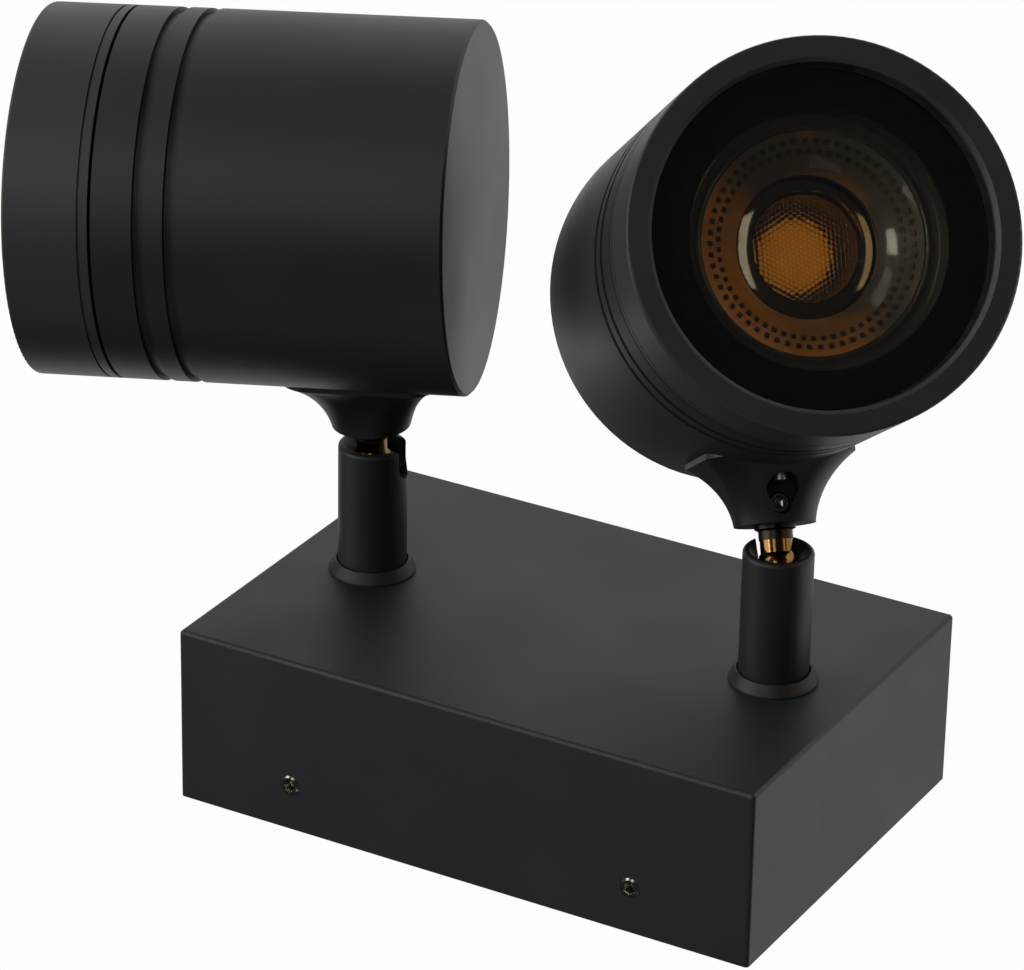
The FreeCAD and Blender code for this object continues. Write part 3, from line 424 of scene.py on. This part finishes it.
# %% The clamp screw of each saddle
CLAMP_UP, NECK_R, CLAMP_LENGTH = 11.1, 3.0, 2.4
for side in SIDES:
    screw = set_screw(CLAMP_LENGTH)
    seat = Matrix.Translation((-NECK_R * MM, 0, CLAMP_UP * MM))
    screw.transform(stud_frame(side) @ seat @ turn("Y", -90))
    piece_from(f"clamp_screw_{side}", screw, black_steel, f"head_{side}_assembly",
               (f"saddle_clamp_screw_{side}",))

# %% [markdown]
# ## The printed border
#
# The front glass has a black enamel border fired on its back, so that only a round window in the
# middle is clear. Fired enamel is dense and even, and it is seen through the glass, so it is a
# deep black with little shine of its own. It is a thin ring that stands a fifth of a millimetre
# behind the glass, because two surfaces in the same place flicker in a render.

# %% Enamel border
WINDOW_R, GLASS_BACK, BORDER_R = 22.75, 74.7, 31.6
BORDER_GAP, BORDER_THICK = 0.2, 0.3
ENAMEL_GRAIN_MM = 0.25


def enamel(name, hex_colour):
    made, tree, out = material(name)
    place = add(tree, "ShaderNodeTexCoord")
    grain = add(tree, "ShaderNodeTexNoise", Vector=(place, "Object"),
                Scale=1 / (ENAMEL_GRAIN_MM * MM), Detail=2.0)
    rough = add(tree, "ShaderNodeMapRange", Value=(grain, "Fac"), **NOISE_SPAN,
                To_Min=0.2, To_Max=0.28)
    skin = add(tree, "ShaderNodeBsdfPrincipled", Base_Color=colour(hex_colour),
               Roughness=(rough, "Result"), Specular_IOR_Level=0.25)
    tree.links.new(skin.outputs[0], out.inputs[0])
    return made


black_enamel = enamel("fired_enamel", "#030304")
BORDER_TOP = GLASS_BACK - BORDER_GAP
BORDER_LOW = BORDER_TOP - BORDER_THICK
BORDER = [(WINDOW_R, BORDER_LOW), (BORDER_R, BORDER_LOW), (BORDER_R, BORDER_TOP),
          (WINDOW_R, BORDER_TOP)]
for side in SIDES:
    head_ring("glass_border", side, BORDER, black_enamel, steps=128)

# %% [markdown]
# ## The lamp's shell and emitter
#
# The lamp is a white moulded shell with a narrow base and a flared front. In its middle is a deep
# round well with a dark cup, and the yellow phosphor of the light source lies at the bottom. The
# phosphor is a silicone layer filled with powder, so it is soft and grainy and keeps a strong
# colour even when the lamp is off. The shell's lip stays below the optic's rim, because the white
# plastic would show as a pale ring beside it.

# %% Yellow phosphor
# the phosphor's emission strength is a painted glow, not a lamp
PHOSPHOR_COLOUR, PHOSPHOR_PAINTED_GLOW = "#e8921a", 0.26
POWDER_MM, POWDER_SHADE = 1.2, 0.15


def phosphor_layer(name):
    """Silicone full of yellow powder. The powder gives back blue light as yellow, and a weak
    emission is a painted glow that makes the layer brighter than its lighting alone would."""
    made, tree, out = material(name)
    place = add(tree, "ShaderNodeTexCoord")
    powder = add(tree, "ShaderNodeTexNoise", Vector=(place, "Object"),
                 Scale=1 / (POWDER_MM * MM), Detail=3.0)
    spread = add(tree, "ShaderNodeMapRange", Value=(powder, "Fac"), **NOISE_SPAN,
                 To_Min=1 - POWDER_SHADE, To_Max=1 + POWDER_SHADE)
    tint = add(tree, "ShaderNodeMix", {"data_type": "RGBA", "blend_type": "MULTIPLY"},
               _0=1.0, _6=colour(PHOSPHOR_COLOUR), _7=(spread, "Result"))
    skin = add(tree, "ShaderNodeBsdfPrincipled", Base_Color=(tint, 2), Roughness=0.45,
               Emission_Color=colour(PHOSPHOR_COLOUR), Emission_Strength=PHOSPHOR_PAINTED_GLOW)
    tree.links.new(skin.outputs[0], out.inputs[0])
    return made


phosphor = phosphor_layer("yellow_phosphor_painted_glow")
dark_cup = moulding("moulded_dark_cup", "#2c2018", 0.3)
print("emitter", phosphor.name, dark_cup.name)

# %% Shell, cup and phosphor
LAMP_BACK, LAMP_FACE, LAMP_R = 19.0, 71.0, 25.0
BASE_R, FLARE_FOOT_R, EDGE = 11.0, 14.5, 0.4
LIP_LEVEL, LIP_OUT_R, LIP_IN_R = 68.6, 23.6, 22.2
PIT_FLOOR, PIT_R, WELL_GAP = 52.4, 9.9, 0.1
SHELL_FLOOR, CUP_BACK, CUP_TOP, CUP_FLOOR_R = PIT_FLOOR - 0.6, PIT_FLOOR - 0.5, 61.2, 8.2
PAD_R, PAD_LOW, PAD_EDGE, PAD_BULGE = 6.6, PIT_FLOOR + 0.02, PIT_FLOOR + 0.4, 23.0

# each profile is a list of (radius, height) from the axis round the outside and back
SHELL = [(0, LAMP_BACK), (BASE_R - EDGE, LAMP_BACK), (BASE_R, LAMP_BACK + EDGE),
         (BASE_R, 26.0), (FLARE_FOOT_R - EDGE, 26.0), (FLARE_FOOT_R, 26.0 + EDGE),
         (FLARE_FOOT_R, 38.0), (LAMP_R, 65.0), (LAMP_R, 70.7), (24.7, LAMP_FACE),
         (LIP_OUT_R, LAMP_FACE), (LIP_OUT_R, LIP_LEVEL), (LIP_IN_R, LIP_LEVEL),
         (11.0, 60.0), (PIT_R + WELL_GAP, 60.2), (PIT_R + WELL_GAP, SHELL_FLOOR),
         (0, SHELL_FLOOR)]
CUP = [(0, CUP_BACK), (PIT_R, CUP_BACK), (PIT_R, CUP_TOP), (PIT_R - EDGE, CUP_TOP),
       (CUP_FLOOR_R, PIT_FLOOR), (0, PIT_FLOOR)]
PAD = [(0, PAD_LOW), (PAD_R, PAD_LOW), (PAD_R, PAD_EDGE)]
PAD += arc((0, PIT_FLOOR - 21.6), PAD_BULGE, 73.5, 90, 6)[1:]
for side in SIDES:
    head_ring("lamp_shell", side, SHELL, lamp_white,
              stands_for=(f"lamp_body_{side}",))
    head_ring("emitter_cup", side, CUP, dark_cup)
    head_ring("phosphor_pad", side, PAD, phosphor, steps=64,
              stands_for=(f"lamp_emitter_{side}",))

# %% [markdown]
# ## The honeycomb lens
#
# Over the well lies a clear plate covered with tiny domes in a honeycomb, 0.84 mm apart, which
# spread the beam. Each dome shows its own small picture of the yellow phosphor, and that gives
# the dotted look. A dome is a hexagon that is inset and lifted three times, with less lift each
# time. It is drawn once and copied cell by cell, and the cells are merged.

# %% Honeycomb plate
PITCH, LENS_R, LENS_LOW, LENS_TOP = 0.84, 9.7, 61.5, 62.2
DOME_HIGH = 0.06
# for each step: how far it is inset, as a share of the cell, and its share of the dome's height
DOME_STEPS = ((0.15, 0.6), (0.2, 0.32), (0.25, 0.08))
CELL_R = PITCH / math.sqrt(3)
ROW_STEP = PITCH * math.sqrt(3) / 2
CELL_MERGE_MM = 0.01


def domed_cell():
    """One cell of the honeycomb as a mesh, about the origin."""
    cell = bmesh.new()
    bmesh.ops.create_circle(cell, cap_ends=True, segments=6, radius=CELL_R * MM,
                            matrix=turn("Z", 30))
    face = next(iter(cell.faces))
    for inset, rise in DOME_STEPS:
        bmesh.ops.inset_individual(cell, faces=[face], thickness=inset * CELL_R * MM, depth=0)
        bmesh.ops.translate(cell, verts=face.verts, vec=(0, 0, DOME_HIGH * rise * MM))
    dome = bpy.data.meshes.new("dome")
    cell.to_mesh(dome)
    cell.free()
    return dome


def honeycomb():
    """A plate whose top is a sheet of six-sided domes that share their edges."""
    dome = domed_cell()
    shape = bmesh.new()
    rows = int(LENS_R / ROW_STEP) + 1
    for row in range(-rows, rows + 1):
        for column in range(-rows - 1, rows + 2):
            x, y = (column + (row % 2) / 2) * PITCH, row * ROW_STEP
            if math.hypot(x, y) < LENS_R - CELL_R:
                place = Matrix.Translation((x * MM, y * MM, LENS_TOP * MM))
                dome.transform(place)
                shape.from_mesh(dome)
                dome.transform(place.inverted())
    bpy.data.meshes.remove(dome)
    bmesh.ops.remove_doubles(shape, verts=shape.verts, dist=CELL_MERGE_MM * MM)
    border = [edge for edge in shape.edges if edge.is_boundary]
    skirt = bmesh.ops.extrude_edge_only(shape, edges=border)["geom"]
    for part in skirt:
        if isinstance(part, bmesh.types.BMVert):
            part.co.z = LENS_LOW * MM
    rim = [part for part in skirt if isinstance(part, bmesh.types.BMEdge) and part.is_boundary]
    bmesh.ops.holes_fill(shape, edges=rim, sides=0)
    return shape


for side in SIDES:
    plate = honeycomb()
    plate.transform(head_frame(side))
    piece_from(f"honeycomb_lens_{side}", plate, lens_plastic, f"head_{side}_assembly",
               (f"lamp_lens_{side}",))

# %% [markdown]
# ## The amber cone, its collar and its teeth
#
# Round the well the optic is a shallow cone that carries the phosphor's colour out to the rim. Its
# colour is painted light and shade: a painted amber glow on one side of the head, where the
# phosphor's light is trapped, and painted brown shade on the other, mixed with random blotches.
# A smooth, slightly domed collar with a thin metal coat lies between the well and the cone, and
# shows the room's windows as bright crescents.
# The rim is smoky brown plastic with a rounded bead. Two rows of small square teeth stand on the
# cone, where the optic is keyed into the shell.

# %% Amber plastic
CONE_TOP = 69.3
# painted light on the amber cone: a painted glow along this way, painted brown shade opposite,
# mixed with random blotches
PAINTED_GLOW_WAY = Vector((0.55, -0.84, 0.0))
PAINTED_GLOW_REACH, PAINTED_GLOW_SHARE = 17.0, 0.62
BLOTCH_MM, BLOTCH_SHARE, BLOTCH_SHIFT = 9, 0.7, -0.25
PAINTED_SHADE_END, PAINTED_GLOW_END = (0.1, "#40362c"), (0.85, "#d98514")


def amber_with_painted_glow(name, side):
    """Clear brown plastic whose colour is painted light and shade: a painted amber glow on one
    side, where the phosphor's light is trapped, and painted brown shade on the other.
    """
    made, tree, out = material(name)
    place = add(tree, "ShaderNodeTexCoord")
    middle = head_frame(side) @ Vector((0, 0, CONE_TOP * MM))
    way = head_frame(side).to_3x3() @ PAINTED_GLOW_WAY
    apart = add(tree, "ShaderNodeVectorMath", {"operation": "SUBTRACT"},
                _0=(place, "Object"), _1=tuple(middle))
    along = add(tree, "ShaderNodeVectorMath", {"operation": "DOT_PRODUCT"},
                _0=(apart, 0), _1=tuple(way))
    cloud = add(tree, "ShaderNodeTexNoise", Vector=(place, "Object"),
                Scale=1 / (BLOTCH_MM * MM), Detail=2.0)
    share = add(tree, "ShaderNodeMapRange", Value=(along, "Value"), From_Min=0.0,
                From_Max=PAINTED_GLOW_REACH * MM, To_Min=0.0, To_Max=PAINTED_GLOW_SHARE)
    blotch = add(tree, "ShaderNodeMath", {"operation": "MULTIPLY_ADD"},
                 _0=(cloud, "Fac"), _1=BLOTCH_SHARE, _2=BLOTCH_SHIFT)
    total = add(tree, "ShaderNodeMath", {"operation": "ADD"},
                _0=(share, "Result"), _1=(blotch, 0))
    ramp = add(tree, "ShaderNodeValToRGB", Fac=(total, 0))
    for element, (position, code) in zip(ramp.color_ramp.elements, (PAINTED_SHADE_END, PAINTED_GLOW_END)):
        element.position = position
        element.color = colour(code)
    skin = add(tree, "ShaderNodeBsdfPrincipled", Base_Color=(ramp, "Color"), Roughness=0.35,
               Coat_Weight=1.0, Coat_Roughness=0.03)
    tree.links.new(skin.outputs[0], out.inputs[0])
    return made


metallised = metal("metallised_smoky_plastic", "#7a746b", 0.08, spread=0.02)
smoke = moulding("moulded_smoky_rim", "#2a2722", 0.22, coat=0.5)
dark_teeth = moulding("moulded_dark_teeth", "#1b1612", 0.4)
print("optic", metallised.name, smoke.name, dark_teeth.name)

# %% Profiles of the optic
RIM_OUT_R, RIM_RAISED, RIM_THICK = 24.9, 0.05, 0.25
RIM_TOP = LAMP_FACE + RIM_RAISED
COLLAR = arc((7.8, 54.0), 11.0, 64, 78, 8)
COLLAR += [(9.85, 64.6), (9.8, 61.3), (12.7, 61.3), (12.75, 63.7)]
CONE = [(19.6, CONE_TOP - 0.8), (17.0, 67.2), (15.2, 65.9), (14.1, 64.9), (13.6, 64.5),
        (12.6, 63.9), (12.5, 61.2), (19.8, 67.9)]
RIM = [(RIM_OUT_R, RIM_TOP), (23.3, RIM_TOP), (22.3, CONE_TOP - 0.1), (21.2, CONE_TOP - 0.5)]
RIM += arc((20.3, CONE_TOP - 0.6), 0.55, 20, 200, 8)
RIM += [(19.9, CONE_TOP - 1.3), (22.2, CONE_TOP - 1.0), (23.5, LAMP_FACE - RIM_THICK),
        (RIM_OUT_R, LAMP_FACE - RIM_THICK)]
for name, corners in (("collar", COLLAR), ("cone", CONE), ("rim", RIM)):
    radii = [radius for radius, _ in corners]
    print(name, "radius", round(min(radii), 2), "to", round(max(radii), 2), "mm")

# %% Teeth, and the optic laid into each head
TEETH, TOOTH, TOOTH_THICK, TOOTH_LEAN = 58, 0.85, 0.3, -34
# for each row: its radius, its height and how far it is turned, in teeth
TEETH_ROWS = ((17.9, 67.95, 0.0), (16.3, 66.85, 0.5))
TOOTH_SIZE = Matrix.Diagonal((TOOTH * MM, TOOTH * MM, TOOTH_THICK * MM, 1))


def tooth_rows():
    """Two rows of square teeth round the cone, each leaning as the cone does."""
    teeth = bmesh.new()
    for radius, height, shift in TEETH_ROWS:
        spot = Matrix.Translation((radius * MM, 0, height * MM))
        for step in range(TEETH):
            around = turn("Z", 360 * (step + shift) / TEETH)
            bmesh.ops.create_cube(teeth, size=1.0,
                                  matrix=around @ spot @ turn("Y", TOOTH_LEAN) @ TOOTH_SIZE)
    return teeth


for side in SIDES:
    head_ring("well_collar", side, COLLAR, metallised, steps=128)
    amber = amber_with_painted_glow(f"amber_painted_glow_{side}", side)
    head_ring("amber_cone", side, CONE, amber, steps=128)
    head_ring("optic_rim", side, RIM, smoke, steps=128)
    teeth = tooth_rows()
    teeth.transform(head_frame(side))
    piece_from(f"optic_teeth_{side}", teeth, dark_teeth, f"head_{side}_assembly")

# %% [markdown]
# ## The studio
#
# The light hangs free over a plain pale floor, with soft lamps round it. The camera stands where
# the photographer's did: above the wall box's long side, looking down on it.
#
# The floor shines white for a ray that comes from the camera, off a glossy surface or through
# clear glass, so that it is as pale as in the photograph. To every other ray it is plain paper,
# because a shining floor would light the insides of the heads. The world beyond it follows the
# same rule, but a glossy surface sees it nearly dark.

# %% Which rays see the white background


def background_rays(tree):
    """1 for rays from the camera, off a glossy surface or straight through glass, else 0. A ray
    through glass that bounced off something first gets 0, and so does one off a glossy surface
    behind glass."""
    below, times, most = ({"operation": kind} for kind in ("LESS_THAN", "MULTIPLY", "MAXIMUM"))
    path = add(tree, "ShaderNodeLightPath")
    undiffused = add(tree, "ShaderNodeMath", below, _0=(path, "Diffuse Depth"), _1=0.5)
    unmirrored = add(tree, "ShaderNodeMath", below, _0=(path, "Glossy Depth"), _1=0.5)
    fresh = add(tree, "ShaderNodeMath", times, _0=(undiffused, 0), _1=(unmirrored, 0))
    through = add(tree, "ShaderNodeMath", times, _0=(fresh, 0), _1=(path, "Is Transmission Ray"))
    unbent = add(tree, "ShaderNodeMath", below, _0=(path, "Transmission Depth"), _1=0.5)
    shine = add(tree, "ShaderNodeMath", times, _0=(unbent, 0), _1=(path, "Is Glossy Ray"))
    either = add(tree, "ShaderNodeMath", most, _0=(through, 0), _1=(shine, 0))
    return add(tree, "ShaderNodeMath", most, _0=(either, 0), _1=(path, "Is Camera Ray"))


# %% Floor
FLOOR_DROP, FLOOR_SIZE, FLOOR_WHITE = 1.8, 12, 0.985
bpy.ops.mesh.primitive_plane_add(size=FLOOR_SIZE, location=(0, 0, -FLOOR_DROP))
floor = bpy.context.object
floor.name = "studio_floor"
made, tree, out = material("studio_paper")
seen = background_rays(tree)
share = add(tree, "ShaderNodeMath", {"operation": "MULTIPLY"}, _0=(seen, 0), _1=FLOOR_WHITE)
paper = add(tree, "ShaderNodeBsdfDiffuse", Color=colour("#f2f2f0"))
white = add(tree, "ShaderNodeEmission", Color=(1, 1, 1, 1), Strength=1.0)
mixed = add(tree, "ShaderNodeMixShader", _0=(share, 0), _1=(paper, 0), _2=(white, 0))
tree.links.new(mixed.outputs[0], out.inputs[0])
floor.data.materials.append(made)
print("floor", FLOOR_DROP, "m below the light")

# %% World
AMBIENT = 0.03
world = bpy.data.worlds.new("studio")
bpy.context.scene.world = world
world.use_nodes = True
tree = world.node_tree
tree.nodes.clear()
path = add(tree, "ShaderNodeLightPath")
through = background_rays(tree)
matt = add(tree, "ShaderNodeMath", {"operation": "SUBTRACT"}, _0=1.0, _1=(path, "Is Glossy Ray"))
seen = add(tree, "ShaderNodeMath", {"operation": "MULTIPLY"}, _0=(through, 0), _1=(matt, 0))
ambient = add(tree, "ShaderNodeBackground", Color=(1, 1, 1, 1), Strength=AMBIENT)
white = add(tree, "ShaderNodeBackground", Color=(1, 1, 1, 1), Strength=1.0)
mixed = add(tree, "ShaderNodeMixShader", _0=(seen, 0), _1=(ambient, 0), _2=(white, 0))
out = add(tree, "ShaderNodeOutputWorld", Surface=(mixed, 0))
print("world nodes", len(tree.nodes))

# %% Camera
# The place, the axes and the lens were solved from the perspective of the box and the heads.
SENSOR_MM, LENS_MM = 36.0, 178.855
CAMERA_PLACE = Vector((-0.401993, -0.472053, 0.739241))
CAMERA_RIGHT = Vector((-0.86807797, -0.01657267, -0.49615118))
CAMERA_UP = Vector((0.22985141, -0.8992766, -0.37211547))
CAMERA_BACK = CAMERA_RIGHT.cross(CAMERA_UP)
camera_data = bpy.data.cameras.new("photograph")
camera_data.sensor_width = SENSOR_MM
camera_data.lens = LENS_MM
camera = bpy.data.objects.new("photograph", camera_data)
camera.matrix_world = Matrix.Translation(CAMERA_PLACE) @ Matrix(
    (CAMERA_RIGHT, CAMERA_UP, CAMERA_BACK)).transposed().to_4x4()
bpy.context.scene.collection.objects.link(camera)
bpy.context.scene.camera = camera
print("camera", round(CAMERA_PLACE.length, 3), "m from the origin")

# %% [markdown]
# ## Lamps
#
# The light comes mostly from the left of the picture, so the two strongest lamps stand there. A
# narrow pane and a tall sheet on the same side show as bright shapes in the glossy optic. A warm
# lamp on the right gives a second highlight, and two weak lamps open the shadows.

# %% Lamps


def soft_lamp(name, place, target, size, watts):
    """A rectangular lamp that faces a target, with its long side upright in the picture."""
    data = bpy.data.lights.new(name, "AREA")
    data.shape = "RECTANGLE"
    data.size, data.size_y = size
    data.energy = watts
    lamp = bpy.data.objects.new(name, data)
    away = (Vector(place) - Vector(target)).normalized()
    across = CAMERA_UP.cross(away).normalized()
    lamp.matrix_world = Matrix.Translation(place) @ Matrix(
        (across, away.cross(across), away)).transposed().to_4x4()
    bpy.context.scene.collection.objects.link(lamp)
    return lamp


MIDDLE = Vector((0, -0.07, 0))


def from_camera(right, up, back):
    """A place given as steps along the camera's own axes from the middle of the light."""
    return MIDDLE + right * CAMERA_RIGHT + up * CAMERA_UP + back * CAMERA_BACK


# for each lamp: its steps from the middle in metres, its width and height, watts and colour
LAMPS = {
    "window": ((-1.5, 0.0, 0.3), (0.9, 0.9), 7.0, "#ffffff"),
    "high": ((-1.1, 1.1, 0.3), (0.9, 0.9), 6.0, "#ffffff"),
    "pane": ((-1.04, 0.18, 0.73), (0.16, 0.45), 2.2, "#ffffff"),
    "sheet": ((-0.43, 0.25, 1.3), (0.35, 1.2), 2.4, "#ffffff"),
    "warm": ((1.12, 0.22, 0.81), (0.3, 0.9), 1.2, "#ffe2b0"),
    "low": ((0.0, -1.4, 0.4), (0.9, 0.9), 1.3, "#ffffff"),
    "back": ((1.1, 1.1, 0.3), (0.9, 0.9), 1.2, "#ffffff"),
}
for name, (steps, size, watts, tint) in LAMPS.items():
    lamp = soft_lamp(name, from_camera(*steps), MIDDLE, size, watts)
    lamp.data.color = colour(tint)[:3]
print("lamps", ", ".join(LAMPS))

bpy.context.scene.view_settings.view_transform = "Standard"
